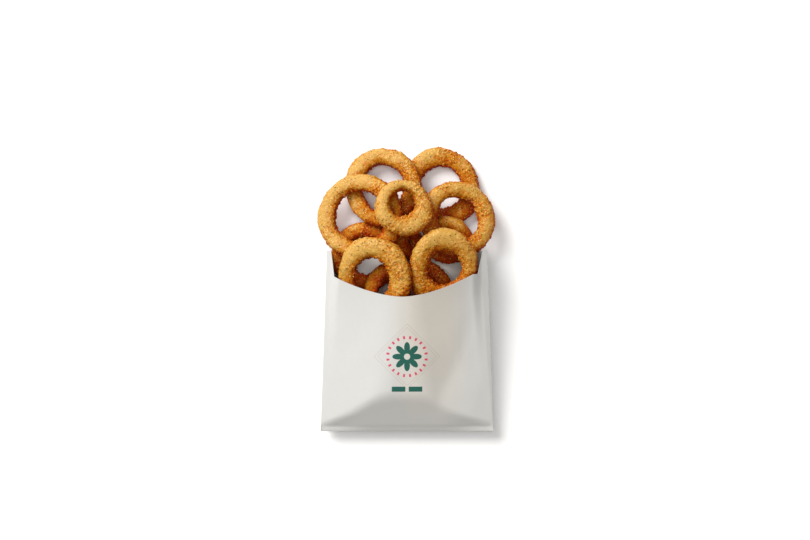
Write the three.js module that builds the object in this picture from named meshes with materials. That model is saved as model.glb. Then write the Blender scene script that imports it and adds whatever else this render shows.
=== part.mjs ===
// A side of battered onion rings spilling out of a white greaseproof paper bag.
// The bag lies on its back, and the rings lie in its mouth and in front of it.
//
// Units are millimetres, +Z is up, +X is to the right and +Y points out of the mouth.
// While the side is laid out, X = 0 is the bag's centre line, Y = 0 its bottom seam
// and Z = 0 the surface it lies on. The last lines move the origin to the middle of
// the side's footprint.

import * as THREE from 'three';
import { mergeVertices } from 'three/addons/utils/BufferGeometryUtils.js';

// ---------------------------------------------------------------- driving dimensions

const BAG_WIDTH = 149.4; // across the bottom seam
const BAG_LENGTH = 156; // bottom seam to the top edges of the back and of the sides
const MOUTH_WIDTH = 136.8; // across the outline at the mouth, where the sides open
const FOLD_MOUTH_HALF = [64.7, 64.3]; // centre line to the left and right front folds, at the mouth
const FOLD_STRAIGHT = [156, 118]; // how far each front fold runs inwards before it goes straight
const CUT_LENGTH = 117; // bottom seam to the lowest point of the curved front cut
const CUT_CENTRE = -4; // the cut's lowest point lies left of the centre line
const CUT_CORNER = 136; // bottom seam to the cut's corners, where it turns up along the folds
const CUT_EDGE = 0.94; // share of the front panel's width that the curve takes
const PAPER = 0.8; // wall thickness of the solid that stands for the paper

const SEAM_HEIGHT = 12; // the filled bag holds its bottom seam this far off the surface
const SEAM_BAND = 5; // glued strip above the seam
const SEAM_EDGE = 0.8; // how far in the seam reaches its full thickness
const SEAM_RISE_LENGTH = 27; // the back panel comes down to the surface over this length
const MOUTH_FOLD_HEIGHT = 40.5; // height of the front folds at the mouth
const LEFT_SLOPE = [0.38, 0.38]; // climb of the front panel from its left fold: seam, mouth
const FOLD_SLOPE = [0.32, 0.16]; // climb from its right fold, as far as a long crease
const RIGHT_SLOPE = [0.48, 0.38]; // and beyond the crease: seam, mouth
const CREASE_START = 30; // the crease leaves the right peak this far from the centre line
const CREASE_END = 53; // and leans out to this far from it
const CREASE_LENGTH = 85; // from this length on it runs straight to the mouth
const SHOULDER = 6.8; // extra height that the paper gains beside the folds, at the mouth
const PEAK_LENGTH = 32; // seam to the two blunt peaks where the apron starts
const PEAK_HEIGHT = 38;
const CROWN_SLOPE = 0.24; // rise of the middle of the front panel towards the mouth
const SIDE_SLOPE = 0.45; // fall of the narrow strip outside each front fold
const SIDE_UNDERCUT = 1.6; // how far the back panel's edges lie inside the bag's outline

const PANEL_COLUMNS = 20; // facets across the front and the back panel
const GUSSET_COLUMNS = 4; // facets up each side
const SIDE_BROW = 0.75; // share of them below the outline
const BAG_ROWS = 13; // facets from the seam to the mouth

const RING_SIDES = 12; // facets round a ring's tube
const RING_STEPS = 36; // facets along a ring

// ---------------------------------------------------------------- small helpers

const { clamp, degToRad, lerp, smoothstep } = THREE.MathUtils;

// A repeatable random source, one per ring.
function seeded(seed) {
  let state = seed;
  return () => {
    state = (state + 0x6d2b79f5) >>> 0;
    let t = Math.imul(state ^ (state >>> 15), state | 1);
    t ^= t + Math.imul(t ^ (t >>> 7), t | 61);
    return ((t ^ (t >>> 14)) >>> 0) / 2 ** 32;
  };
}

// The lower of two heights, rounded over where they meet.
function roundedMin(a, b, radius) {
  const h = clamp(0.5 + (0.5 * (b - a)) / radius, 0, 1);
  return lerp(b, a, h) - radius * h * (1 - h);
}

// Welds shared vertices and drops the triangles that shrink to a line or a point.
function welded(geometry) {
  geometry.deleteAttribute('normal');
  geometry.deleteAttribute('uv');
  const merged = mergeVertices(geometry, 1e-4);
  const index = merged.getIndex().array;
  const kept = [];
  for (let i = 0; i < index.length; i += 3) {
    const [a, b, c] = index.slice(i, i + 3);
    if (a !== b && b !== c && c !== a) kept.push(a, b, c);
  }
  merged.setIndex(kept);
  merged.computeVertexNormals();
  return merged;
}

// ---------------------------------------------------------------- paper bag

// Half widths and heights of the bag's edges, at a length y from the bottom seam.
const outlineHalfWidth = (y) => lerp(BAG_WIDTH, MOUTH_WIDTH, y / BAG_LENGTH) / 2;
const backHeight = (y) => SEAM_HEIGHT * (1 - smoothstep(y, 0, SEAM_RISE_LENGTH));
const foldHeight = (y) => lerp(SEAM_HEIGHT + 2 * PAPER, MOUTH_FOLD_HEIGHT, y / BAG_LENGTH);

function foldHalfWidth(side, y) {
  const s = side < 0 ? 0 : 1;
  return lerp(BAG_WIDTH / 2, FOLD_MOUTH_HALF[s], Math.min(y / FOLD_STRAIGHT[s], 1));
}

// The front panel: two broad slopes meet in a soft ridge down the middle, and a steep
// apron drops from two blunt peaks to the bottom seam. A crease splits the right slope.
function frontHeight(x, y) {
  const fromLeft = foldHalfWidth(-1, y) + x;
  const fromRight = foldHalfWidth(1, y) - x;
  const leaning = lerp(CREASE_START, CREASE_END, (y - PEAK_LENGTH) / (CREASE_LENGTH - PEAK_LENGTH));
  const pastCrease = -roundedMin(0, x - roundedMin(leaning, CREASE_END, 9), 6);
  const along = y / CUT_CORNER;
  const shoulder = SHOULDER * along ** 4 * smoothstep(Math.min(fromLeft, fromRight), 0, 9);
  const left = foldHeight(y) + lerp(...LEFT_SLOPE, along) * fromLeft;
  const besideFold = lerp(...FOLD_SLOPE, along);
  const steeper = lerp(...RIGHT_SLOPE, along) - besideFold;
  const right = foldHeight(y) + besideFold * fromRight + steeper * pastCrease;
  const crown = PEAK_HEIGHT + CROWN_SLOPE * (y - PEAK_LENGTH);
  const apron = lerp(SEAM_HEIGHT + 2 * PAPER, PEAK_HEIGHT, y / PEAK_LENGTH);
  const slopes = roundedMin(left, right, 6) + shoulder;
  const roof = roundedMin(slopes, crown, 5);
  return Math.max(roundedMin(roof, apron, 5), foldHeight(y));
}

// Length of the front panel at a place across it, which runs from -1 to 1: a shallow
// curve that turns up beside the folds.
function frontLength(across) {
  const curve = Math.abs(across * FOLD_MOUTH_HALF[1] - CUT_CENTRE) / (CUT_EDGE * FOLD_MOUTH_HALF[1]);
  const corner = clamp((Math.abs(across) - CUT_EDGE) / (1 - CUT_EDGE), 0, 1);
  return lerp(lerp(CUT_LENGTH, CUT_CORNER, Math.min(curve, 1) ** 1.7), BAG_LENGTH, corner);
}

// A place across a panel, from -1 to 1. Columns stand closer together beside the folds.
function panelPlace(column) {
  const even = (2 * column) / PANEL_COLUMNS - 1;
  return even * (1.25 - 0.25 * even * even);
}

// Rows run from the seam, where the bag is pinched flat, to the mouth.
function rowLength(row, start, end) {
  return row === 0 ? start : lerp(start + SEAM_EDGE, end, (row - 1) / (BAG_ROWS - 1));
}

// Columns run round the bag: along the back, up the right side, along the front and
// down the left side. inset is 0 for the outer skin and PAPER for the inner one.
function paperPoint(column, row, inset) {
  const start = inset > 0 ? SEAM_BAND : 0;
  const onFront = column - PANEL_COLUMNS - GUSSET_COLUMNS;
  let across = 1;
  let up = 0;
  if (column <= PANEL_COLUMNS) {
    across = panelPlace(column);
  } else if (onFront < 0) {
    up = (column - PANEL_COLUMNS) / GUSSET_COLUMNS;
  } else if (onFront <= PANEL_COLUMNS) {
    across = -panelPlace(onFront);
    up = 1;
  } else {
    across = -1;
    up = 1 - (onFront - PANEL_COLUMNS) / GUSSET_COLUMNS;
  }
  if (row === 0) {
    const pinch = lerp(backHeight(start) + inset, frontHeight(0, start) - inset, 0.5);
    return new THREE.Vector3(across * (outlineHalfWidth(start) - inset), start, pinch);
  }
  const y = rowLength(row, start, lerp(BAG_LENGTH, frontLength(across), up));
  const fold = foldHalfWidth(across, y);
  const low = backHeight(y) + inset;
  const high = frontHeight(across * fold, y) - inset;
  if (up === 1) {
    return new THREE.Vector3(across * (fold - inset), y, high);
  }
  // Up each side the paper leans out to the bag's outline, and then falls back to the fold.
  const outline = outlineHalfWidth(y);
  const brow = high - SIDE_SLOPE * (outline - fold);
  const rise = Math.min(up / SIDE_BROW, 1);
  const undercut = SIDE_UNDERCUT * clamp((high - low) / 20, 0, 1) * (1 - rise) ** 2;
  const beside = Math.abs(across) * (outline - undercut - inset);
  if (up <= SIDE_BROW) {
    return new THREE.Vector3(Math.sign(across) * beside, y, lerp(low, brow, rise));
  }
  return new THREE.Vector3(across * (lerp(outline, fold, (up - SIDE_BROW) / (1 - SIDE_BROW)) - inset), y,
    lerp(brow, high, (up - SIDE_BROW) / (1 - SIDE_BROW)));
}

function bagGeometry() {
  const columns = 2 * (PANEL_COLUMNS + GUSSET_COLUMNS);
  const rows = BAG_ROWS + 1;
  const points = [];
  for (const inset of [0, PAPER]) {
    for (let row = 0; row < rows; row++) {
      for (let column = 0; column < columns; column++) {
        points.push(paperPoint(column, row, inset));
      }
    }
  }
  const faces = [];
  const quad = (a, b, c, d) => faces.push(a, b, c, a, c, d);
  const outer = (column, row) => row * columns + (column % columns);
  const inner = (column, row) => outer(column, row) + rows * columns;
  for (let c = 0; c < columns; c++) {
    for (let r = 0; r < BAG_ROWS; r++) {
      quad(outer(c, r), outer(c, r + 1), outer(c + 1, r + 1), outer(c + 1, r));
      quad(inner(c + 1, r), inner(c + 1, r + 1), inner(c, r + 1), inner(c, r));
    }
    quad(outer(c + 1, BAG_ROWS), outer(c, BAG_ROWS), inner(c, BAG_ROWS), inner(c + 1, BAG_ROWS));
  }
  const geometry = new THREE.BufferGeometry().setFromPoints(points);
  geometry.setIndex(faces);
  return welded(geometry);
}

function bagMesh() {
  const paper = new THREE.MeshStandardMaterial({
    name: 'greaseproof paper',
    color: 0xf0eee8,
    roughness: 0.7,
    metalness: 0,
  });
  const mesh = new THREE.Mesh(bagGeometry(), paper);
  mesh.name = 'bag';
  return mesh;
}

// ---------------------------------------------------------------- onion rings

// A ring is a torus whose path and tube wander as it goes round. outer is its outside
// radius, width and height are its tube's, hole moves the hole off centre so that one
// side is thicker, and long stretches the ring towards the mouth.
function ringGeometry({ outer, width, height, hole = [0, 0], long = 1, seed }) {
  const random = seeded(seed);
  const phase = Array.from({ length: 8 }, () => 2 * Math.PI * random());
  const middle = outer - width / 2;
  const geometry = new THREE.TorusGeometry(middle, width / 2, RING_SIDES, RING_STEPS);
  const place = geometry.getAttribute('position');
  const point = new THREE.Vector3();
  for (let i = 0; i < place.count; i++) {
    point.fromBufferAttribute(place, i);
    const round = Math.atan2(point.y, point.x);
    const section = Math.atan2(point.z, Math.hypot(point.x, point.y) - middle);
    const wander = 1 + 0.02 * Math.sin(2 * round + phase[0]) + 0.014 * Math.sin(3 * round + phase[1])
      + 0.008 * Math.sin(5 * round + phase[2]);
    const fat = 1 + 0.06 * Math.sin(2 * round + phase[3]) + 0.04 * Math.sin(5 * round + phase[4]);
    const tall = 1 + 0.05 * Math.sin(round + phase[5]) + 0.03 * Math.sin(4 * round + phase[6]);
    const full = 1 + 0.07 * Math.sin(2 * section) ** 2
      + 0.025 * Math.sin(3 * section + 4 * round + phase[7]);
    const inwards = (1 - Math.cos(section)) / 2;
    const holeShift = inwards * (hole[0] * Math.cos(round) + hole[1] * Math.sin(round));
    const z = 0.5 * height * tall * full * Math.sin(section);
    const r = middle * wander + 0.5 * width * fat * full * Math.cos(section) + holeShift;
    place.setXYZ(i, r * Math.cos(round), long * r * Math.sin(round), z);
  }
  return welded(geometry);
}

// at is the ring's centre. lean is how many degrees the ring rises towards the right
// and towards the mouth.
const RINGS = {
  ring_top_right: { outer: 34.4, width: 16, height: 12.5, seed: 11, at: [29.4, 211, 6.7], lean: [0, 0] },
  ring_left_under: { outer: 30.8, width: 14.5, height: 12, seed: 12, at: [-35.2, 151.7, 7.4], lean: [0, 0] },
  ring_deep_right: { outer: 25.6, width: 12.5, height: 12, seed: 13, at: [13.9, 122.2, 7.5], lean: [0, 0] },
  ring_small_under: { outer: 22, width: 13, height: 12, seed: 14, at: [35, 165.5, 13.4], lean: [-2, 22] },
  ring_core_under: { outer: 14.4, width: 11.2, height: 11.5, seed: 22, at: [1.4, 163.2, 12.9], lean: [-43, -4] },
  ring_deep_left: { outer: 27.7, width: 12.5, height: 12, seed: 15, at: [-9.8, 119.7, 19.7], lean: [0, 1] },
  ring_top_left: { outer: 34.5, width: 15, height: 12.5, seed: 16, at: [-20.8, 211, 15.3], lean: [14.5, -8] },
  ring_right: { outer: 33.3, width: 14.4, height: 12.5, seed: 17, at: [43.1, 183.1, 25.3], lean: [-11.5, -6] },
  ring_left: { outer: 37.8, width: 15, height: 12.5, seed: 18, at: [-40, 185, 25.5], lean: [17, -4] },
  ring_front_right: { outer: 30, width: 16, height: 13, hole: [1.2, 0], long: 1.17, seed: 19, at: [30.8, 141.4, 37.9], lean: [-5.2, 18] },
  ring_front_left: { outer: 32.7, width: 16.5, height: 12.5, hole: [-2.5, -2], long: 1.05, seed: 20, at: [-27.5, 134.2, 39.7], lean: [13.2, 12.3] },
  ring_crown: { outer: 24.6, width: 14, height: 14, hole: [-1.5, 4], seed: 21, at: [-2.6, 192, 45.9], lean: [-8, -9] },
};

function ringMesh(name, ring) {
  const batter = new THREE.MeshStandardMaterial({
    name: 'fried batter',
    color: 0xd39545,
    roughness: 0.75,
    metalness: 0,
  });
  const mesh = new THREE.Mesh(ringGeometry(ring), batter);
  mesh.name = name;
  mesh.position.set(...ring.at);
  mesh.rotation.set(degToRad(ring.lean[1]), -degToRad(ring.lean[0]), 0);
  return mesh;
}

// ---------------------------------------------------------------- the whole side

const layout = new THREE.Group();
layout.add(bagMesh());
for (const [name, ring] of Object.entries(RINGS)) {
  layout.add(ringMesh(name, ring));
}

// The origin is the middle of the footprint, on the surface that the side lies on.
const extent = new THREE.Box3().setFromObject(layout, true);
const centre = extent.getCenter(new THREE.Vector3());
layout.position.set(-centre.x, -centre.y, -extent.min.z);

const side = new THREE.Group();
side.add(layout);
export default side;
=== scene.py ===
import math
import random

import bpy
import numpy as np
from bpy.props import FloatProperty, FloatVectorProperty, IntProperty, PointerProperty
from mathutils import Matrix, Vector, noise
from mathutils.bvhtree import BVHTree


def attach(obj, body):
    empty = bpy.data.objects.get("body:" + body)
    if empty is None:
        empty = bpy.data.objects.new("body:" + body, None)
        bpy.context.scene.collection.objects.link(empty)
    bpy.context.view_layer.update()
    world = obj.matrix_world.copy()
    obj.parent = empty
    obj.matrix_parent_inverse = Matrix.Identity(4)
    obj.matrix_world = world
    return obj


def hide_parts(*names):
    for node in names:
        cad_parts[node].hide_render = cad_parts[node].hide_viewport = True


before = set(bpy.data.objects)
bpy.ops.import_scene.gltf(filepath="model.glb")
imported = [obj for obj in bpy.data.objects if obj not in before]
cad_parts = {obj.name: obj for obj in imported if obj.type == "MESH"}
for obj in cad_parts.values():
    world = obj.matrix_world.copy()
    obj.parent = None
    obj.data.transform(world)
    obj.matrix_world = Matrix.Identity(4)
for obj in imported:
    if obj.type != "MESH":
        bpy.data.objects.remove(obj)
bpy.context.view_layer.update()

bl_info = {
    "name": "Onion rings side",
    "version": (1, 0, 0),
    "blender": (4, 5, 0),
    "location": "View3D > Sidebar > Onion rings",
    "description": "Builds battered onion rings spilling out of a white paper bag",
    "category": "Add Mesh",
}

MM = 0.001
BODY = "root"
RING_NODES = sorted(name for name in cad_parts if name.startswith("ring_"))
# Where the middle of the bag's bottom seam lies in the frame.
SEAM_MIDDLE = Vector((0.864 * MM, -123.022 * MM, 0.0))
MERGE_DISTANCE = 0.01 * MM
# Nearly all of a noise texture's values lie between these two.
NOISE_RANGE = (0.3, 0.7)


def linear(code, alpha=1.0):
    """An sRGB colour such as "d9a441" as linear values."""
    parts = [int(code[i:i + 2], 16) / 255 for i in (0, 2, 4)]
    return tuple(p / 12.92 if p <= 0.04045 else ((p + 0.055) / 1.055) ** 2.4
                 for p in parts) + (alpha,)


def colour_property(name, description, code):
    return FloatVectorProperty(name=name, description=description, subtype="COLOR", size=4,
                               min=0.0, max=1.0, default=linear(code))


def length_property(name, description, millimetres):
    return FloatProperty(name=name, description=description, subtype="DISTANCE", unit="LENGTH",
                         min=0.0, precision=5, default=millimetres * MM)


class BagSettings(bpy.types.PropertyGroup):
    width: length_property("Width", "Width of the bag across its bottom seam", 149.4)
    length: length_property("Length", "Bottom seam to the top edges of the back and the sides", 156)
    mouth_width: length_property("Mouth width", "Width across the outline at the mouth", 136.8)
    left_fold: length_property("Left fold", "Centre line to the left front fold at the mouth", 64.7)
    right_fold: length_property("Right fold", "Centre line to the right front fold at the mouth",
                                64.3)
    cut_length: length_property("Cut length", "Bottom seam to the lowest point of the front cut",
                                117)
    cut_corner: length_property("Cut corner", "Bottom seam to the corners of the front cut", 136)
    mouth_height: length_property("Mouth height", "Height of the front folds at the mouth", 40.5)
    paper: length_property("Paper", "Thickness of the paper, drawn thicker than the real 0.06 mm",
                           0.25)
    seam_band: length_property("Seam strip", "Width of the glued strip along the bottom", 5)
    crumple: length_property("Crumple", "Height of the soft dents in the paper", 0.9)
    paper_colour: colour_property("Paper colour", "Bleached greaseproof paper", "c8c7c3")
    teal: colour_property("Main print colour", "The large shapes of the print", "0d564b")
    rose: colour_property("Accent print colour", "The ticks round the print", "cc4263")
    line_grey: colour_property("Line colour", "The thin frame of the print", "bdb8b0")


class RingSettings(bpy.types.PropertyGroup):
    levels: IntProperty(name="Smoothing", description="Subdivision levels of each ring",
                        min=1, max=3, default=3)
    lumps: length_property("Lumps", "Height of the lumps in the batter", 0.9)
    grain: length_property("Grain", "Height of the crumb grain that is modelled", 0.5)
    crest: colour_property("Crest colour", "Pale golden batter on top of each ring", "c4953c")
    golden: colour_property("Golden colour", "Batter between the crest and the sides", "bc7917")
    # the toasted and deep colours also carry painted shade: the batter is taken to them where it is
    # low, shut in or turned from the light
    toasted: colour_property("Toasted colour", "Browner batter on sides and inner walls", "ae5807")
    deep: colour_property("Deep colour", "Dark batter low in the holes", "9c2e03")
    speck: colour_property("Speck colour", "Pepper and burnt crumbs", "331b0a")
    # pale crumbs, partly painted glints
    pale_and_glint: colour_property("Pale crumb colour", "Light crumbs that catch the light", "f2cf86")
    crumbs: IntProperty(name="Crumbs", description="Loose-looking crumbs on all rings together",
                        min=0, max=9500, default=9000)
    crumb_size: length_property("Crumb size", "Typical diameter of a crumb", 1.3)


class StageSettings(bpy.types.PropertyGroup):
    floor: colour_property("Floor colour", "Plain pale floor", "fcfcfb")
    key_power: FloatProperty(name="Key power", description="Power of the large soft light",
                             subtype="POWER", unit="POWER", min=0.0, default=117.0)
    top_power: FloatProperty(name="Top power", description="Power of the soft light overhead",
                             subtype="POWER", unit="POWER", min=0.0, default=21.0)
    sky: FloatProperty(name="Surround", description="Strength of the even light from all round",
                       min=0.0, default=0.235)


def deselect_all():
    if bpy.context.object and bpy.context.object.mode != "OBJECT":
        bpy.ops.object.mode_set(mode="OBJECT")
    bpy.ops.object.select_all(action="DESELECT")


def make_active(obj):
    deselect_all()
    obj.select_set(True)
    bpy.context.view_layer.objects.active = obj


def apply_modifier(obj, kind, **settings):
    make_active(obj)
    modifier = obj.modifiers.new(kind.title(), kind)
    for name, value in settings.items():
        setattr(modifier, name, value)
    bpy.ops.object.modifier_apply(modifier=modifier.name)


def add_node(tree, kind, settings=(), inputs=()):
    """Adds one node, sets its properties, and fills or links its inputs."""
    node = tree.nodes.new(kind)
    for name, value in dict(settings).items():
        setattr(node, name, value)
    for key, value in dict(inputs).items():
        if isinstance(value, bpy.types.NodeSocket):
            tree.links.new(value, node.inputs[key])
        else:
            node.inputs[key].default_value = value
    return node


def new_material(name):
    material = bpy.data.materials.new(name)
    material.use_nodes = True
    tree = material.node_tree
    tree.nodes.clear()
    return material, tree


def smoothstep(value, low, high):
    t = min(max((value - low) / (high - low), 0.0), 1.0)
    return t * t * (3 - 2 * t)


def lerp(a, b, t):
    return a + (b - a) * t


def rounded_min(a, b, radius):
    """The lower of two heights, rounded over where they meet."""
    h = min(max(0.5 + 0.5 * (b - a) / radius, 0.0), 1.0)
    return lerp(b, a, h) - radius * h * (1 - h)


# ---------------------------------------------------------------- paper bag

# The folded shape of the bag, in mm, measured across from its centre line and along from its
# seam. Slopes are rise over run, and a pair of them holds at the seam and at the mouth.
SEAM_HEIGHT = 12.0  # the seam stands this high off the table
SEAM_EDGE = 0.8  # the front and the back part this far in from the seam
SEAM_RISE_LENGTH = 27.0  # the back rises to the seam over this length
PAPER_SOLID = 0.8  # thickness of the solid bag, which the sheet lies over
LEFT_SLOPE = (0.38, 0.38)  # from the left fold to the ridge
FOLD_SLOPE = (0.32, 0.16)  # from the right fold to the crease
RIGHT_SLOPE = (0.48, 0.38)  # from the crease to the ridge
# The crease in the right of the front leans out from CREASE_START, level with the peak, to
# CREASE_END, which it reaches at CREASE_LENGTH.
CREASE_START = 30.0
CREASE_END = 53.0
CREASE_LENGTH = 85.0
CREASE_ROUNDING = 5.0
CREASE_TURN = 9.0
# The front swells beside its folds, most at the mouth.
SHOULDER = 6.8
SHOULDER_WIDTH = 9.0
# The top of the slope over the seam, and the roof that goes on from there.
PEAK_LENGTH = 32.0
PEAK_HEIGHT = 38.0
CROWN_SLOPE = 0.24
RIDGE_ROUNDING = 5.0
ROOF_ROUNDING = 4.0
APRON_ROUNDING = 3.0
# The glued strip along the seam: the step down onto it, and how it flattens towards its ends.
STRIP_STEP = 0.5
STRIP_EDGE = 0.6
STRIP_END_FALL = 0.5
STRIP_END = (28.0, 64.0)
STRIP_BLEND = 18.0
# Each side leans out to the outline up to its brow, and falls back from there to the fold.
SIDE_BROW = 0.75  # share of the side that is below its brow
SIDE_SLOPE = 0.45  # how steeply it falls back
SIDE_UNDERCUT = 1.6  # drawn in by this at the table, where the side is tall
SIDE_UNDERCUT_HEIGHT = 20.0
# The curved cut of the front at the mouth. Its edge is a share of the half width.
CUT_CENTRE = -4.0
CUT_EDGE = 0.94
CUT_POWER = 1.7
FOLD_STRAIGHT = (156.0, 118.0)  # the left and the right front fold slant in up to here

# Soft dents and straight creases in the paper: their spacing across and along, in mm, and
# their place in the noise.
DENT_SPACING = (46.0, 60.0)
DENT_SEED = 7.3
DENT_SHARE = 0.9
FINE_DENTS = 2.3
FINE_DENT_SHARE = 0.35
CREASE_SPACING = (34.0, 90.0)
CREASE_SEED = 8.1
CREASE_SLANT = 0.4
CREASE_SHARE = 0.5
DENT_DROP = 0.35  # the dented paper lies this much lower
CALM_BESIDE_FOLD = 12.0
CALM_OVER_SEAM = (6.0, 24.0)

PANEL_COLUMNS = 96
GUSSET_COLUMNS = 20
BAG_ROWS = 104
SMOOTH_ANGLE = 32
# UVs of the back and the sides start this many mm off the front, clear of the print.
UV_OFF_FRONT = 200

# The look of the paper. Widths and places are in mm.
CLOUD_WIDTH = 4.0
CLOUD_SHADES = (0.988, 1.006)
WRINKLE_WIDTH = 9.0
WRINKLE_DEPTH = 0.6
WRINKLE_STRENGTH = 0.12
# Painted glow: a warm tint that lifts red, for light from the golden rings that comes through and
# off the paper.
PAINTED_GLOW_TINT = (1.07, 1.005, 0.93, 1.0)
# The painted glow comes in from the first place of a pair to the second.
PAINTED_GLOW_FROM_LEFT = (-18, 10)
PAINTED_GLOW_FROM_RIGHT = (60, 30)
PAINTED_GLOW_FROM_SEAM = (-135, -45)

# The print, in mm. Its middle is measured from the centre line and from the seam.
PRINT_MIDDLE = (0.0, 66.0)
PETALS = 8
PETAL_ROOT = 6.0
PETAL_LENGTH = 6.5
ROSETTE_CORE = 2.6
BAR_HALF = (13.0, 2.2)
BAR_BELOW = 28.0
BAR_GAP_HALF = 1.4
TICKS = 20
TICK_RADIUS = 16.4
TICK_HALF_LENGTH = 1.3
TICK_HALF_SHARE = 0.17  # of the way from one tick to the next
TICK_SOFT_SHARE = 0.04
LOZENGES = (25.0, 28.0)
LOZENGE_LINE_HALF = 0.35
PRINT_SOFTNESS = 0.25


class BagShape:
    """The folded paper as a function of place: across, up the sides and along."""

    def __init__(self, settings):
        self.width = settings.width / MM
        self.length = settings.length / MM
        self.mouth_width = settings.mouth_width / MM
        self.fold_mouth = (settings.left_fold / MM, settings.right_fold / MM)
        self.cut_length = settings.cut_length / MM
        self.cut_corner = settings.cut_corner / MM
        self.mouth_height = settings.mouth_height / MM
        self.seam_band = settings.seam_band / MM
        self.crumple = settings.crumple / MM

    def outline_half(self, y):
        return lerp(self.width, self.mouth_width, y / self.length) / 2

    def fold_half(self, side, y):
        s = 0 if side < 0 else 1
        return lerp(self.width / 2, self.fold_mouth[s], min(y / FOLD_STRAIGHT[s], 1))

    def back_height(self, y):
        return SEAM_HEIGHT * (1 - smoothstep(y, 0, SEAM_RISE_LENGTH))

    def fold_height(self, y):
        return lerp(SEAM_HEIGHT + 2 * PAPER_SOLID, self.mouth_height, y / self.length)

    def front_height(self, x, y):
        from_left = self.fold_half(-1, y) + x
        from_right = self.fold_half(1, y) - x
        leaning = lerp(CREASE_START, CREASE_END, (y - PEAK_LENGTH) / (CREASE_LENGTH - PEAK_LENGTH))
        crease = rounded_min(leaning, CREASE_END, CREASE_TURN)
        past_crease = -rounded_min(0, x - crease, CREASE_ROUNDING)
        along = y / self.cut_corner
        fold = self.fold_height(y)
        from_fold = min(from_left, from_right)
        shoulder = SHOULDER * along ** 4 * smoothstep(from_fold, 0, SHOULDER_WIDTH)
        left = fold + lerp(*LEFT_SLOPE, along) * from_left
        beside_fold = lerp(*FOLD_SLOPE, along)
        steeper = lerp(*RIGHT_SLOPE, along) - beside_fold
        right = fold + beside_fold * from_right + steeper * past_crease
        crown = PEAK_HEIGHT + CROWN_SLOPE * (y - PEAK_LENGTH)
        apron = lerp(SEAM_HEIGHT + 2 * PAPER_SOLID, PEAK_HEIGHT, y / PEAK_LENGTH)
        flatter = STRIP_END_FALL * smoothstep(abs(x), *STRIP_END)
        apron -= flatter * min(y, self.seam_band) * (1 - smoothstep(y, self.seam_band, STRIP_BLEND))
        slopes = rounded_min(left, right, RIDGE_ROUNDING) + shoulder
        roof = rounded_min(slopes, crown, ROOF_ROUNDING)
        return max(rounded_min(roof, apron, APRON_ROUNDING), fold)

    def front_length(self, across):
        """The cut: a shallow curve that turns up beside the folds."""
        edge = CUT_EDGE * self.fold_mouth[1]
        curve = min(abs(across * self.fold_mouth[1] - CUT_CENTRE) / edge, 1) ** CUT_POWER
        corner = max((abs(across) - CUT_EDGE) / (1 - CUT_EDGE), 0)
        return lerp(lerp(self.cut_length, self.cut_corner, curve), self.length, corner)

    def dents(self, x, y):
        """Soft dents and a few straight creases, in mm."""
        place = Vector((x / DENT_SPACING[0], y / DENT_SPACING[1], DENT_SEED))
        soft = (noise.noise(place) * DENT_SHARE
                + noise.noise(place * FINE_DENTS) * FINE_DENT_SHARE)
        slanting = (x + CREASE_SLANT * y) / CREASE_SPACING[0]
        place = Vector((slanting, y / CREASE_SPACING[1], CREASE_SEED))
        ridged = 0.5 - abs(noise.noise(place))
        return self.crumple * (soft + CREASE_SHARE * ridged)

    def point(self, across, up, row, rows):
        """A point of the sheet. across runs from -1 to 1, up from the back (0) to the front (1)."""
        if row == 0:
            pinch = lerp(self.back_height(0), self.front_height(0, 0), 0.5)
            return Vector((across * self.outline_half(0), 0, pinch))
        end = lerp(self.length, self.front_length(across), up)
        y = lerp(SEAM_EDGE, end, (row - 1) / (rows - 1))
        outline = self.outline_half(y)
        fold = self.fold_half(across, y)
        low = self.back_height(y)
        high = self.front_height(across * fold, y)
        if up == 1:
            x = across * fold
            calm = smoothstep(fold - abs(x), 0, CALM_BESIDE_FOLD) * smoothstep(y, *CALM_OVER_SEAM)
            high += calm * (self.dents(x, y) - DENT_DROP)
            # the strip is folded over and glued, so the paper steps down onto it
            on_strip = 1 - smoothstep(y, self.seam_band - STRIP_EDGE, self.seam_band + STRIP_EDGE)
            return Vector((x, y, high - STRIP_STEP * on_strip))
        # up each side the paper leans out to the outline, and then falls back to the fold
        brow = high - SIDE_SLOPE * (outline - fold)
        rise = min(up / SIDE_BROW, 1)
        tall = min(max((high - low) / SIDE_UNDERCUT_HEIGHT, 0), 1)
        undercut = SIDE_UNDERCUT * tall * (1 - rise) ** 2
        if up <= SIDE_BROW:
            return Vector((across * (outline - undercut), y, lerp(low, brow, rise)))
        back = (up - SIDE_BROW) / (1 - SIDE_BROW)
        return Vector((across * lerp(outline, fold, back), y, lerp(brow, high, back)))


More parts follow.
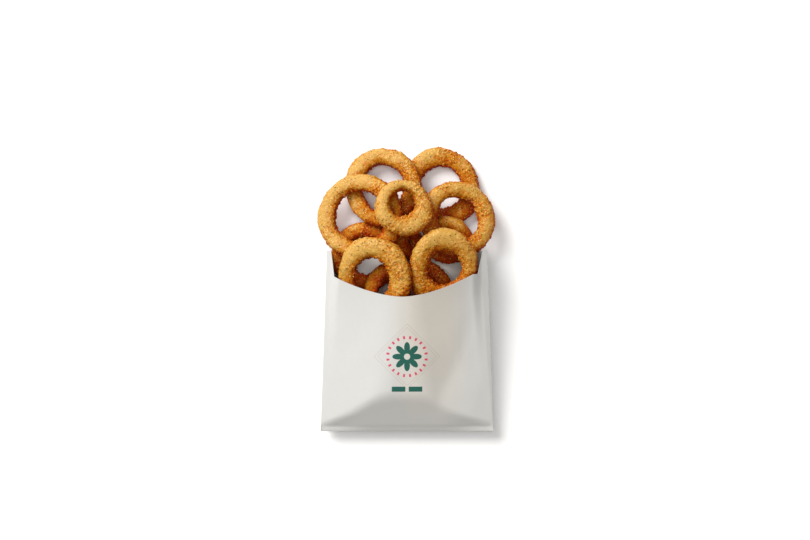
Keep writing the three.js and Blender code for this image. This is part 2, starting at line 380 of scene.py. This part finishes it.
class ONIONSIDE_OT_bag(bpy.types.Operator):
    """Folds one sheet of paper into the open bag and prints its front"""
    bl_idname = "onion_side.bag"
    bl_label = "Paper bag"

    def execute(self, context):
        settings = context.scene.onion_bag
        shape = BagShape(settings)
        # columns stand closer together beside the folds
        even = [2 * i / PANEL_COLUMNS - 1 for i in range(PANEL_COLUMNS)]
        places = [e * (1.25 - 0.25 * e * e) for e in even]
        ring = [(place, 0.0) for place in places]
        ring += [(1.0, i / GUSSET_COLUMNS) for i in range(GUSSET_COLUMNS)]
        ring += [(-place, 1.0) for place in places]
        ring += [(-1.0, 1 - i / GUSSET_COLUMNS) for i in range(GUSSET_COLUMNS + 1)]
        columns = len(ring) - 1

        deselect_all()
        bpy.ops.mesh.primitive_grid_add(x_subdivisions=columns, y_subdivisions=BAG_ROWS, size=1)
        bag = context.object
        bag.name = bag.data.name = "paper_bag"
        mesh = bag.data
        if len(mesh.vertices) != (columns + 1) * (BAG_ROWS + 1):
            raise RuntimeError("the sheet of paper has an unexpected number of points")
        sheet = [None] * len(mesh.vertices)
        for vertex in mesh.vertices:
            column = round((vertex.co.x + 0.5) * columns)
            row = round((vertex.co.y + 0.5) * BAG_ROWS)
            across, up = ring[column]
            sheet[vertex.index] = (column, row, shape.point(across, up, row, BAG_ROWS))
        # The sheet's own UV map, in mm: across from the front's centre line and along.
        front_start = PANEL_COLUMNS + GUSSET_COLUMNS
        flat = mesh.uv_layers[0]
        flat.name = "flat_paper"
        for loop in mesh.loops:
            column, row, place = sheet[loop.vertex_index]
            on_front = front_start <= column <= front_start + PANEL_COLUMNS
            across = place.x if on_front else UV_OFF_FRONT + column
            flat.data[loop.index].uv = (across, place.y)
        for vertex in mesh.vertices:
            vertex.co = SEAM_MIDDLE + sheet[vertex.index][2] * MM
        make_active(bag)
        bpy.ops.object.mode_set(mode="EDIT")
        bpy.ops.mesh.select_all(action="SELECT")
        bpy.ops.mesh.remove_doubles(threshold=MERGE_DISTANCE)
        bpy.ops.mesh.normals_make_consistent(inside=False)
        bpy.ops.object.mode_set(mode="OBJECT")
        mesh.materials.append(printed_paper(settings))
        mesh.materials.append(plain_paper(settings))
        apply_modifier(bag, "SOLIDIFY", thickness=settings.paper, offset=-1.0,
                       use_even_offset=False, material_offset=1, material_offset_rim=1)
        make_active(bag)
        bpy.ops.object.shade_smooth_by_angle(angle=math.radians(SMOOTH_ANGLE))
        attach(bag, BODY)
        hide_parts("bag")
        return {"FINISHED"}


def paper_surface(tree, colour):
    """Bleached greaseproof paper: pressed and calendered, so it is even and faintly satin,
    with cloudy fibre that shows as a slight mottle."""
    coordinates = add_node(tree, "ShaderNodeTexCoord").outputs["Object"]
    cloud = add_node(tree, "ShaderNodeTexNoise", inputs={
        "Vector": coordinates, "Scale": 1 / (CLOUD_WIDTH * MM), "Detail": 4.0, "Roughness": 0.6})
    dim = add_node(tree, "ShaderNodeMapRange", inputs={
        "Value": cloud.outputs["Fac"], "From Min": NOISE_RANGE[0], "From Max": NOISE_RANGE[1],
        "To Min": CLOUD_SHADES[0], "To Max": CLOUD_SHADES[1]})
    mottled = add_node(tree, "ShaderNodeVectorMath", {"operation": "SCALE"},
                       {0: colour, "Scale": dim.outputs["Result"]})

    def faded(value, start, end):
        return add_node(tree, "ShaderNodeMapRange", {"interpolation_type": "SMOOTHSTEP"}, {
            "Value": value, "From Min": start * MM, "From Max": end * MM}).outputs["Result"]

    def both(a, b):
        return add_node(tree, "ShaderNodeMath", {"operation": "MULTIPLY"}, {0: a, 1: b}).outputs[0]

    # painted glow: a faint warm tint right of centre, where the paper lies over its gusset and the
    # rings, standing in for their warm light coming through and off the paper
    place = add_node(tree, "ShaderNodeSeparateXYZ", inputs={0: coordinates})
    across, along = place.outputs["X"], place.outputs["Y"]
    painted_glow = both(faded(across, *PAINTED_GLOW_FROM_LEFT), faded(across, *PAINTED_GLOW_FROM_RIGHT))
    painted_glow = both(painted_glow, faded(along, *PAINTED_GLOW_FROM_SEAM))
    glow_tinted = add_node(tree, "ShaderNodeMix", {"data_type": "RGBA", "blend_type": "MULTIPLY"},
                    {0: painted_glow, 6: mottled.outputs["Vector"], 7: PAINTED_GLOW_TINT}).outputs[2]
    # fine wrinkles, as thin paper has where it was handled
    wrinkle = add_node(tree, "ShaderNodeTexNoise", inputs={
        "Vector": coordinates, "Scale": 1 / (WRINKLE_WIDTH * MM), "Detail": 3.0,
        "Roughness": 0.5})
    bump = add_node(tree, "ShaderNodeBump", inputs={
        "Height": wrinkle.outputs["Fac"], "Strength": WRINKLE_STRENGTH,
        "Distance": WRINKLE_DEPTH * MM})
    shader = add_node(tree, "ShaderNodeBsdfPrincipled", inputs={
        "Base Color": glow_tinted, "Roughness": 0.62, "IOR": 1.5,
        "Normal": bump.outputs["Normal"]})
    add_node(tree, "ShaderNodeOutputMaterial", inputs={"Surface": shader.outputs["BSDF"]})


def plain_paper(settings):
    material, tree = new_material("bleached greaseproof paper")
    tint = add_node(tree, "ShaderNodeRGB")
    tint.outputs[0].default_value = settings.paper_colour
    paper_surface(tree, tint.outputs[0])
    return material


def printed_paper(settings):
    """The same paper with a flat two-colour print: a rosette in a lozenge frame."""
    material, tree = new_material("printed greaseproof paper")

    def math_node(operation, a, b=0.0):
        return add_node(tree, "ShaderNodeMath", {"operation": operation}, {0: a, 1: b}).outputs[0]

    def within(value, edge, soft=PRINT_SOFTNESS):
        """1 where value is under edge, with a soft border."""
        return add_node(tree, "ShaderNodeMapRange", {"interpolation_type": "SMOOTHSTEP"}, {
            "Value": value, "From Min": edge - soft, "From Max": edge + soft,
            "To Min": 1.0, "To Max": 0.0}).outputs["Result"]

    flat = add_node(tree, "ShaderNodeUVMap", {"uv_map": "flat_paper"}).outputs["UV"]
    place = add_node(tree, "ShaderNodeSeparateXYZ", inputs={0: flat})
    x = math_node("SUBTRACT", place.outputs["X"], PRINT_MIDDLE[0])
    y = math_node("SUBTRACT", place.outputs["Y"], PRINT_MIDDLE[1])
    radius = math_node("SQRT", math_node("ADD", math_node("MULTIPLY", x, x),
                                         math_node("MULTIPLY", y, y)))
    angle = math_node("ARCTAN2", y, x)
    # rosette of petals round a bare core
    petal = math_node("ABSOLUTE", math_node("COSINE", math_node("MULTIPLY", angle, PETALS / 2)))
    reach = math_node("ADD", PETAL_ROOT, math_node("MULTIPLY", petal, PETAL_LENGTH))
    rosette = within(math_node("SUBTRACT", radius, reach), 0.0)
    core = within(radius, ROSETTE_CORE)
    rosette = math_node("MULTIPLY", rosette, math_node("SUBTRACT", 1.0, core))
    # two short bars under it
    bar = math_node("MULTIPLY", within(math_node("ABSOLUTE", x), BAR_HALF[0]),
                    within(math_node("ABSOLUTE", math_node("ADD", y, BAR_BELOW)), BAR_HALF[1]))
    gap = within(math_node("ABSOLUTE", x), BAR_GAP_HALF)
    bar = math_node("MULTIPLY", bar, math_node("SUBTRACT", 1.0, gap))
    teal = math_node("MAXIMUM", rosette, bar)
    # ticks round the rosette
    turn = math_node("FRACT", math_node("MULTIPLY", angle, TICKS / (2 * math.pi)))
    off_circle = math_node("ABSOLUTE", math_node("SUBTRACT", radius, TICK_RADIUS))
    off_tick = math_node("ABSOLUTE", math_node("SUBTRACT", turn, 0.5))
    tick = math_node("MULTIPLY", within(off_circle, TICK_HALF_LENGTH),
                     within(off_tick, TICK_HALF_SHARE, TICK_SOFT_SHARE))
    # lozenge frame
    lozenge = math_node("ADD", math_node("ABSOLUTE", x), math_node("ABSOLUTE", y))
    lines = [within(math_node("ABSOLUTE", math_node("SUBTRACT", lozenge, size)), LOZENGE_LINE_HALF)
             for size in LOZENGES]
    frame_line = math_node("MAXIMUM", *lines)
    tint = add_node(tree, "ShaderNodeRGB")
    tint.outputs[0].default_value = settings.paper_colour
    colour = tint.outputs[0]
    inks = ((frame_line, settings.line_grey), (tick, settings.rose), (teal, settings.teal))
    for mask, ink in inks:
        colour = add_node(tree, "ShaderNodeMix", {"data_type": "RGBA"},
                          {0: mask, 6: colour, 7: ink}).outputs[2]
    paper_surface(tree, colour)
    return material


# ---------------------------------------------------------------- onion rings

# Rays that find how much of the sky is hidden from a point, which is painted into the batter as
# shade. Lengths are in mm.
SKY_RAYS = 24
SKY_REACH = 150
RAY_START = 0.8  # this far off the surface, to miss it
GOLDEN_ANGLE = 2.39996
QUAD_ANGLE = 60  # triangles join to a quad where they bend by less than this

# The crust. Each pattern has a coarse and a fine width, in mm, and the share of the fine one.
LUMPS = (15.0, 6.0, 0.6)
PATCHES = (19.0, 7.0, 0.5)
GRAINS = (2.6, 1.5, 0.8)
INNER_WALL = (-1.5, 4.0)  # in mm inside the ring's middle line
SIDE_TURN = (0.0, 0.70)  # from facing up to facing sideways
ROUGH_PATCH = (-0.25, 0.5)
ROUGH_SIDE = 0.35
ROUGH_INNER = 0.35
LUMP_SHARE = 0.75
GRAIN_SHARES = (0.45, 1.25)  # on the smooth and on the rough coat
GRAIN_INNER = 0.7
HIGH_GRAIN = 0.35  # grains above this stand out more
HIGH_GRAIN_SHARE = 0.8
CRUST_RISE = 0.1  # in mm, as the next
CRUST_LOWEST = 0.05
# What browns the batter, and by how much. 0 is the palest crest and 1 is dark brown. Part of it is
# painted shade: the direction below points away from the key light, and batter that faces it, or
# lies on that side of its ring, is painted darker.
SHADED_SIDE = Vector((0.74, -0.67, 0.0))
RING_HEIGHTS_FOR_SHADE = (6.0, 30.0)  # heights of the rings' centres, in mm
OCCLUSION_SHADE_RANGE = (0.12, 0.9)
# painted shade on the lowest rings, and painted light on the top ones
PAINTED_SHADE_LOWEST_RING = 0.05
PAINTED_LIGHT_TOP_RING = -0.08
TOAST_ROUGH = 0.26
# sides and inner walls are browner, partly from frying and partly as painted shade
TOAST_AND_SHADE_SIDE = 0.36
TOAST_AND_SHADE_INNER = 0.20
# painted shade where the batter is shut in from the sky
PAINTED_OCCLUSION_SHADE = 0.72
PAINTED_SHADE_TURNED = 0.38
PAINTED_SHADE_ARC = 0.03
TOAST_LUMP = -0.16
TOAST_GRAIN = -0.14

CRUMB_SEED = 7
CRUMB_SIZES = (0.45, 1.15)  # shares of the typical size
CRUMB_WIDTHS = (0.7, 1.3)  # shares of the crumb's own size, as its height and sinking are
CRUMB_HEIGHTS = (0.5, 0.9)
CRUMB_SINK = 0.12
CRUMB_JITTER = 0.18
CRUMB_SHADES = (-0.65, 0.6)
CRUMB_COAT = 0.5
CRUMB_LOWEST = 0.02  # in mm
SMOOTH_COAT_CHANCE = 0.15

# The look of the batter. Widths are in mm, and swings are in the measure of the toasting.
BLOTCH_WIDTH = 6.0
BLOTCH_SWING = 0.16
FINE_WIDTH = 1.7  # crumb grain, drawn a little coarser than it is so that it shows
FINE_SWINGS = (0.26, 0.50)  # on the smooth and on the rough coat
FINE_DEPTH = 1.0
SHADE_WIDTH = 2.1
SHADE_SWING = 0.20
# The batter turns from crest to golden to toasted to deep between these.
TOAST_STOPS = (-0.04, 0.26, 0.66, 1.10)
PALE_CELL = 1.0
PALE_SHARES = (0.11, 0.28)  # on the smooth and on the rough coat
PALE_STRENGTHS = (0.8, 0.4)  # on pale and on dark batter
# Pepper and burnt crumbs: the width of a cell, the radius of a speck, and the share of cells
# that have one.
SPECKS = ((3.4, 0.56, 0.46), (2.2, 0.36, 0.42))
SCATTER_DEPTH = 2.2  # how far light spreads in the crust


def ring_frame(mesh):
    """Centre, axis and middle radius of a ring, from its own points."""
    points = np.array([vertex.co for vertex in mesh.vertices])
    centre = points.mean(axis=0)
    axis = np.linalg.svd(points - centre, full_matrices=False)[2][2]
    if axis[2] < 0:
        axis = -axis
    flat = points - centre - np.outer((points - centre) @ axis, axis)
    radii = np.linalg.norm(flat, axis=1)
    return Vector(centre), Vector(axis), (radii.min() + radii.max()) / 2


def surface_tree():
    """Every ring and the bag as they lie, for ray tests."""
    points, faces = [], []
    for name in RING_NODES + ["bag"]:
        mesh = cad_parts[name].data
        faces += [[len(points) + i for i in face.vertices] for face in mesh.polygons]
        points += [vertex.co.copy() for vertex in mesh.vertices]
    return BVHTree.FromPolygons(points, faces)


def store_occlusion_for_shade(mesh, tree):
    """Stores at each point the share of the sky that other batter or the bag hides from it, for
    painted shade.
    """
    rays = []
    for i in range(SKY_RAYS):
        up = math.sqrt(1 - (i + 0.5) / SKY_RAYS)
        turn = i * GOLDEN_ANGLE
        level = math.sqrt(1 - up * up)
        rays.append(Vector((level * math.cos(turn), level * math.sin(turn), up)))
    occlusion_for_shade = mesh.attributes.new("occlusion_for_shade", "FLOAT", "POINT")
    for vertex in mesh.vertices:
        start = vertex.co + vertex.normal * RAY_START * MM
        hits = sum(tree.ray_cast(start, ray, SKY_REACH * MM)[0] is not None for ray in rays)
        occlusion_for_shade.data[vertex.index].value = hits / SKY_RAYS


class ONIONSIDE_OT_rings(bpy.types.Operator):
    """Gives every onion ring its lumpy crumbed crust"""
    bl_idname = "onion_side.rings"
    bl_label = "Onion rings"

    def execute(self, context):
        settings = context.scene.onion_rings
        material = fried_batter(settings)
        tree = surface_tree()
        for number, node_name in enumerate(RING_NODES):
            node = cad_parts[node_name]
            mesh = node.data.copy()
            ring = bpy.data.objects.new(node_name.replace("ring_", "onion_ring_"), mesh)
            mesh.name = ring.name
            context.scene.collection.objects.link(ring)
            make_active(ring)
            bpy.ops.object.mode_set(mode="EDIT")
            bpy.ops.mesh.select_all(action="SELECT")
            bpy.ops.mesh.remove_doubles(threshold=MERGE_DISTANCE)
            bpy.ops.mesh.tris_convert_to_quads(face_threshold=math.radians(QUAD_ANGLE),
                                               shape_threshold=math.radians(QUAD_ANGLE))
            bpy.ops.object.mode_set(mode="OBJECT")
            centre, axis, middle = ring_frame(mesh)
            store_occlusion_for_shade(mesh, tree)
            apply_modifier(ring, "SUBSURF", levels=settings.levels, render_levels=settings.levels)
            crust(mesh, number, centre, axis, middle, settings)
            mesh.materials.clear()
            mesh.materials.append(material)
            make_active(ring)
            bpy.ops.object.shade_smooth()
            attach(ring, BODY)
            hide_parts(node_name)
        return {"FINISHED"}


def two_noises(place, pattern, first_shift, second_shift):
    """A coarse noise with a share of a finer one."""
    coarse, fine, share = pattern
    return (noise.noise(place / (coarse * MM) + first_shift)
            + share * noise.noise(place / (fine * MM) + second_shift))


def crust(mesh, number, centre, axis, middle, settings):
    """Moves a ring's points for lumps and grain. Stores how toasted each one is, with painted shade
    added in, and how rough the crumb coat is there."""
    toast_and_shade = mesh.attributes.new("toast_and_shade", "FLOAT", "POINT")
    coat = mesh.attributes.new("coat", "FLOAT", "POINT")
    occlusion_for_shade = mesh.attributes["occlusion_for_shade"].data
    shift = Vector((number * 3.7, number * 1.9, number * 5.3))
    # painted shade: the lowest rings, under the others, are painted browner, and the top ones
    # lighter
    high = smoothstep(centre.z / MM, *RING_HEIGHTS_FOR_SHADE)
    ring_height_shade = lerp(PAINTED_SHADE_LOWEST_RING, PAINTED_LIGHT_TOP_RING, high)
    moved = []
    for vertex in mesh.vertices:
        place = vertex.co
        normal = vertex.normal
        offset = place - centre
        height = offset.dot(axis)
        radius = (offset - axis * height).length
        inner = smoothstep((middle - radius) / MM, *INNER_WALL)
        side = smoothstep(1 - normal.z, *SIDE_TURN)
        lump = two_noises(place, LUMPS, shift, shift)
        # the crumb coat is thick and rough in patches, and thin and smooth between them
        patch = two_noises(place, PATCHES, -2 * shift, -shift)
        rough = smoothstep(patch + ROUGH_SIDE * side + ROUGH_INNER * inner * side, *ROUGH_PATCH)
        grain = two_noises(place, GRAINS, shift, -shift)
        rise = settings.lumps * LUMP_SHARE * lump
        crumbly = settings.grain * (lerp(*GRAIN_SHARES, rough) + GRAIN_INNER * inner * side)
        rise += crumbly * (grain + HIGH_GRAIN_SHARE * max(0.0, grain - HIGH_GRAIN))
        target = place + normal * (rise + CRUST_RISE * MM)
        target.z = max(target.z, CRUST_LOWEST * MM)
        moved.append(target)
        # painted shade: batter turned away from the key light, and on the far side of each ring, is
        # darker
        turned_from_light = normal.dot(SHADED_SIDE)
        arc_from_light = offset.normalized().dot(SHADED_SIDE)
        occlusion_shade = smoothstep(occlusion_for_shade[vertex.index].value, *OCCLUSION_SHADE_RANGE)
        # sides and inner walls are browner, partly from frying and partly as painted shade
        toast_and_shade.data[vertex.index].value = (
            ring_height_shade + TOAST_ROUGH * rough + TOAST_AND_SHADE_SIDE * side + TOAST_AND_SHADE_INNER * inner
            + PAINTED_OCCLUSION_SHADE * occlusion_shade + PAINTED_SHADE_TURNED * turned_from_light + PAINTED_SHADE_ARC * arc_from_light
            + TOAST_LUMP * lump + TOAST_GRAIN * grain)
        coat.data[vertex.index].value = rough
    for vertex, place in zip(mesh.vertices, moved):
        vertex.co = place
    mesh.update()


class ONIONSIDE_OT_crumbs(bpy.types.Operator):
    """Scatters small crumbs that stand out of the crust of every ring"""
    bl_idname = "onion_side.crumbs"
    bl_label = "Crumbs"

    def execute(self, context):
        settings = context.scene.onion_rings
        draw = random.Random(CRUMB_SEED)
        rings = [bpy.data.objects.get(n.replace("ring_", "onion_ring_")) for n in RING_NODES]
        if None in rings:
            raise RuntimeError("the onion rings are built before their crumbs")
        deselect_all()
        bpy.ops.mesh.primitive_ico_sphere_add(subdivisions=1, radius=0.5)
        seed_crumb = context.object
        points = [v.co.copy() for v in seed_crumb.data.vertices]
        faces = [tuple(p.vertices) for p in seed_crumb.data.polygons]
        bpy.data.objects.remove(seed_crumb)
        vertices, polygons, toast_and_shade_values = [], [], []
        areas = [sum(p.area for p in ring.data.polygons) for ring in rings]
        for ring, area in zip(rings, areas):
            mesh = ring.data
            toast_and_shade = mesh.attributes["toast_and_shade"].data
            coat = mesh.attributes["coat"].data
            count = round(settings.crumbs * area / sum(areas))
            chances = [p.area * (SMOOTH_COAT_CHANCE + coat[p.vertices[0]].value)
                       for p in mesh.polygons]
            for polygon in draw.choices(mesh.polygons, chances, k=count):
                normal = polygon.normal
                turn = normal.to_track_quat("Z", "Y")
                size = settings.crumb_size * draw.uniform(*CRUMB_SIZES)
                stretch = Vector((draw.uniform(*CRUMB_WIDTHS), draw.uniform(*CRUMB_WIDTHS),
                                  draw.uniform(*CRUMB_HEIGHTS)))
                spin = draw.uniform(0, 2 * math.pi)
                base = polygon.center - normal * size * CRUMB_SINK
                start = len(vertices)
                for point in points:
                    jitter = 1 + draw.uniform(-CRUMB_JITTER, CRUMB_JITTER)
                    local = Vector((point.x * math.cos(spin) - point.y * math.sin(spin),
                                    point.x * math.sin(spin) + point.y * math.cos(spin), point.z))
                    local = Vector((local.x * stretch.x, local.y * stretch.y, local.z * stretch.z))
                    corner = base + turn @ (local * size * jitter)
                    corner.z = max(corner.z, CRUMB_LOWEST * MM)
                    vertices.append(corner)
                shade = toast_and_shade[polygon.vertices[0]].value + draw.uniform(*CRUMB_SHADES)
                toast_and_shade_values += [shade] * len(points)
                polygons += [tuple(start + i for i in face) for face in faces]
        mesh = bpy.data.meshes.new("batter_crumbs")
        mesh.from_pydata(vertices, [], polygons)
        attribute = mesh.attributes.new("toast_and_shade", "FLOAT", "POINT")
        attribute.data.foreach_set("value", toast_and_shade_values)
        attribute = mesh.attributes.new("coat", "FLOAT", "POINT")
        attribute.data.foreach_set("value", [CRUMB_COAT] * len(toast_and_shade_values))
        mesh.materials.append(bpy.data.materials["fried batter"])
        crumbs = bpy.data.objects.new("batter_crumbs", mesh)
        context.scene.collection.objects.link(crumbs)
        make_active(crumbs)
        bpy.ops.object.shade_smooth()
        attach(crumbs, BODY)
        return {"FINISHED"}


def fried_batter(settings):
    """Deep-fried crumb batter: dry and rough with a trace of oil, golden on the crests, with pepper
    specks and pale crumbs. Where it is low, shut in or turned from the light it is painted browner,
    as painted shade."""
    material, tree = new_material("fried batter")
    coordinates = add_node(tree, "ShaderNodeTexCoord").outputs["Object"]
    toast_and_shade = add_node(tree, "ShaderNodeAttribute", {"attribute_name": "toast_and_shade"}).outputs["Fac"]

    def noise_of(millimetres, detail):
        return add_node(tree, "ShaderNodeTexNoise", inputs={
            "Vector": coordinates, "Scale": 1 / (millimetres * MM), "Detail": detail,
            "Roughness": 0.6}).outputs["Fac"]

    def ranged(value, low, high, to_low=0.0, to_high=1.0):
        return add_node(tree, "ShaderNodeMapRange", inputs={
            "Value": value, "From Min": low, "From Max": high, "To Min": to_low,
            "To Max": to_high}).outputs["Result"]

    def math_node(operation, a, b):
        return add_node(tree, "ShaderNodeMath", {"operation": operation}, {0: a, 1: b}).outputs[0]

    def mixed(factor, a, b):
        return add_node(tree, "ShaderNodeMix", {"data_type": "RGBA"},
                        {0: factor, 6: a, 7: b}).outputs[2]

    def cells_of(millimetres):
        """How far a point is from the middle of its cell, and the lot that its cell drew."""
        cells = add_node(tree, "ShaderNodeTexVoronoi", inputs={
            "Vector": coordinates, "Scale": 1 / (millimetres * MM), "Randomness": 1.0})
        lot = add_node(tree, "ShaderNodeSeparateColor", inputs={0: cells.outputs["Color"]})
        return cells.outputs["Distance"], lot.outputs["Red"]

    rough = add_node(tree, "ShaderNodeAttribute", {"attribute_name": "coat"}).outputs["Fac"]
    blotch = noise_of(BLOTCH_WIDTH, 3.0)
    fine = noise_of(FINE_WIDTH, 3.0)
    browned_and_shaded = math_node("ADD", toast_and_shade, ranged(blotch, *NOISE_RANGE, -BLOTCH_SWING, BLOTCH_SWING))
    swing = math_node("MULTIPLY", ranged(fine, *NOISE_RANGE, -1.0, 1.0),
                      ranged(rough, 0.0, 1.0, *FINE_SWINGS))
    browned_and_shaded = math_node("ADD", browned_and_shaded, swing)
    colour = tuple(settings.crest)
    browner = (settings.golden, settings.toasted, settings.deep)
    for start, end, tone in zip(TOAST_STOPS, TOAST_STOPS[1:], browner):
        colour = mixed(ranged(browned_and_shaded, start, end), colour, tuple(tone))
    # where the coat is rough, single grains are also lighter or darker than their neighbours
    grains = noise_of(SHADE_WIDTH, 2.0)
    shade = math_node("MULTIPLY", ranged(grains, 0.32, 0.68, SHADE_SWING, -SHADE_SWING),
                      ranged(rough, 0.15, 0.9, 0.15, 1.0))
    shade = math_node("ADD", 1.0, shade)
    colour = add_node(tree, "ShaderNodeVectorMath", {"operation": "SCALE"},
                      {0: colour, "Scale": shade}).outputs["Vector"]
    # pale grains, more where the coat is rough: partly pale crumbs, partly painted glints, which
    # fade where the batter is browned or in painted shade
    distance, lot = cells_of(PALE_CELL)
    near = ranged(distance, 0.50, 0.25)
    chosen = math_node("LESS_THAN", lot, ranged(rough, 0.0, 1.0, *PALE_SHARES))
    pale_and_glint = math_node("MULTIPLY", math_node("MULTIPLY", near, chosen),
                     ranged(toast_and_shade, 0.3, 1.0, *PALE_STRENGTHS))
    colour = mixed(pale_and_glint, colour, tuple(settings.pale_and_glint))
    for cell, radius, share in SPECKS:
        distance, lot = cells_of(cell)
        near = ranged(distance, radius / cell * 1.15, radius / cell * 0.8)
        chosen = ranged(lot, share + 0.01, share - 0.01)
        colour = mixed(math_node("MULTIPLY", near, chosen), colour, tuple(settings.speck))
    bump = add_node(tree, "ShaderNodeBump", inputs={
        "Height": fine, "Strength": 0.9, "Distance": FINE_DEPTH * MM})
    shader = add_node(tree, "ShaderNodeBsdfPrincipled", inputs={
        "Base Color": colour, "Roughness": 0.45, "IOR": 1.47, "Normal": bump.outputs["Normal"],
        "Subsurface Weight": 0.4, "Subsurface Radius": (1.0, 0.36, 0.10),
        "Subsurface Scale": SCATTER_DEPTH * MM,
        "Specular IOR Level": ranged(toast_and_shade, 0.0, 0.4, 0.48, 0.06)})
    add_node(tree, "ShaderNodeOutputMaterial", inputs={"Surface": shader.outputs["BSDF"]})
    return material


# ---------------------------------------------------------------- stage

CAMERA_PLACE = Vector((-0.88 * MM, 16.50 * MM, 1.670))
CAMERA_LENS = 85.1
FLOOR_SIZE = 6.0
FLOOR_DROP = 0.3 * MM  # just under the bag, so that no faces meet
LIGHT_TARGET = Vector((0, 0.02, 0.02))
KEY_DIRECTION = Vector((-0.50, 0.56, 0.66))
KEY_DISTANCE = 3.0
KEY_SIZE = 2.0
TOP_DISTANCE = 2.4
TOP_SIZE = 1.6


class ONIONSIDE_OT_camera(bpy.types.Operator):
    """Hangs the camera straight above the bag"""
    bl_idname = "onion_side.camera"
    bl_label = "Camera"

    def execute(self, context):
        deselect_all()
        bpy.ops.object.camera_add(location=CAMERA_PLACE, rotation=(0, 0, 0))
        camera = context.object
        camera.name = "camera"
        camera.data.lens = CAMERA_LENS
        camera.data.sensor_width = 36.0
        camera.data.clip_start = 0.01
        camera.data.clip_end = 20.0
        context.scene.camera = camera
        return {"FINISHED"}


class ONIONSIDE_OT_stage(bpy.types.Operator):
    """Lays a plain pale floor and hangs soft lights"""
    bl_idname = "onion_side.stage"
    bl_label = "Floor and lights"

    def execute(self, context):
        settings = context.scene.onion_stage
        deselect_all()
        bpy.ops.mesh.primitive_plane_add(size=FLOOR_SIZE, location=(0, 0, -FLOOR_DROP))
        floor = context.object
        floor.name = "floor"
        material, tree = new_material("matt painted board")
        shader = add_node(tree, "ShaderNodeBsdfPrincipled", inputs={
            "Base Color": settings.floor, "Roughness": 0.9})
        add_node(tree, "ShaderNodeOutputMaterial", inputs={"Surface": shader.outputs["BSDF"]})
        floor.data.materials.append(material)

        deselect_all()
        to_key = KEY_DIRECTION.normalized() * KEY_DISTANCE
        bpy.ops.object.light_add(type="AREA", location=LIGHT_TARGET + to_key,
                                 rotation=to_key.to_track_quat("Z", "Y").to_euler())
        key = context.object
        key.name = "key_light"
        key.data.shape = "DISK"
        key.data.size = KEY_SIZE
        key.data.energy = settings.key_power
        key.data.color = (1.0, 0.995, 0.985)

        overhead = LIGHT_TARGET + Vector((0, 0, TOP_DISTANCE))
        bpy.ops.object.light_add(type="AREA", location=overhead, rotation=(0, 0, 0))
        top = context.object
        top.name = "top_light"
        top.data.shape = "DISK"
        top.data.size = TOP_SIZE
        top.data.energy = settings.top_power

        world = bpy.data.worlds.new("soft surround")
        world.use_nodes = True
        background = world.node_tree.nodes["Background"]
        background.inputs["Color"].default_value = linear("fffcf9")
        background.inputs["Strength"].default_value = settings.sky
        context.scene.world = world
        context.scene.view_settings.view_transform = "Standard"
        return {"FINISHED"}


class ONIONSIDE_PT_panel(bpy.types.Panel):
    """Lists the steps that build the onion rings side"""
    bl_idname = "ONIONSIDE_PT_panel"
    bl_label = "Onion rings side"
    bl_space_type = "VIEW_3D"
    bl_region_type = "UI"
    bl_category = "Onion rings"

    def draw(self, context):
        for operator in OPERATORS:
            self.layout.operator(operator.bl_idname)


OPERATORS = (ONIONSIDE_OT_camera, ONIONSIDE_OT_stage, ONIONSIDE_OT_bag, ONIONSIDE_OT_rings,
             ONIONSIDE_OT_crumbs)
CLASSES = (BagSettings, RingSettings, StageSettings) + OPERATORS + (ONIONSIDE_PT_panel,)


def register():
    for cls in CLASSES:
        bpy.utils.register_class(cls)
    bpy.types.Scene.onion_bag = PointerProperty(type=BagSettings)
    bpy.types.Scene.onion_rings = PointerProperty(type=RingSettings)
    bpy.types.Scene.onion_stage = PointerProperty(type=StageSettings)


def unregister():
    del bpy.types.Scene.onion_stage
    del bpy.types.Scene.onion_rings
    del bpy.types.Scene.onion_bag
    for cls in reversed(CLASSES):
        bpy.utils.unregister_class(cls)


def main():
    register()
    bpy.ops.onion_side.camera()
    bpy.ops.onion_side.stage()
    bpy.ops.onion_side.bag()
    bpy.ops.onion_side.rings()
    bpy.ops.onion_side.crumbs()


if __name__ == "__main__":
    main()
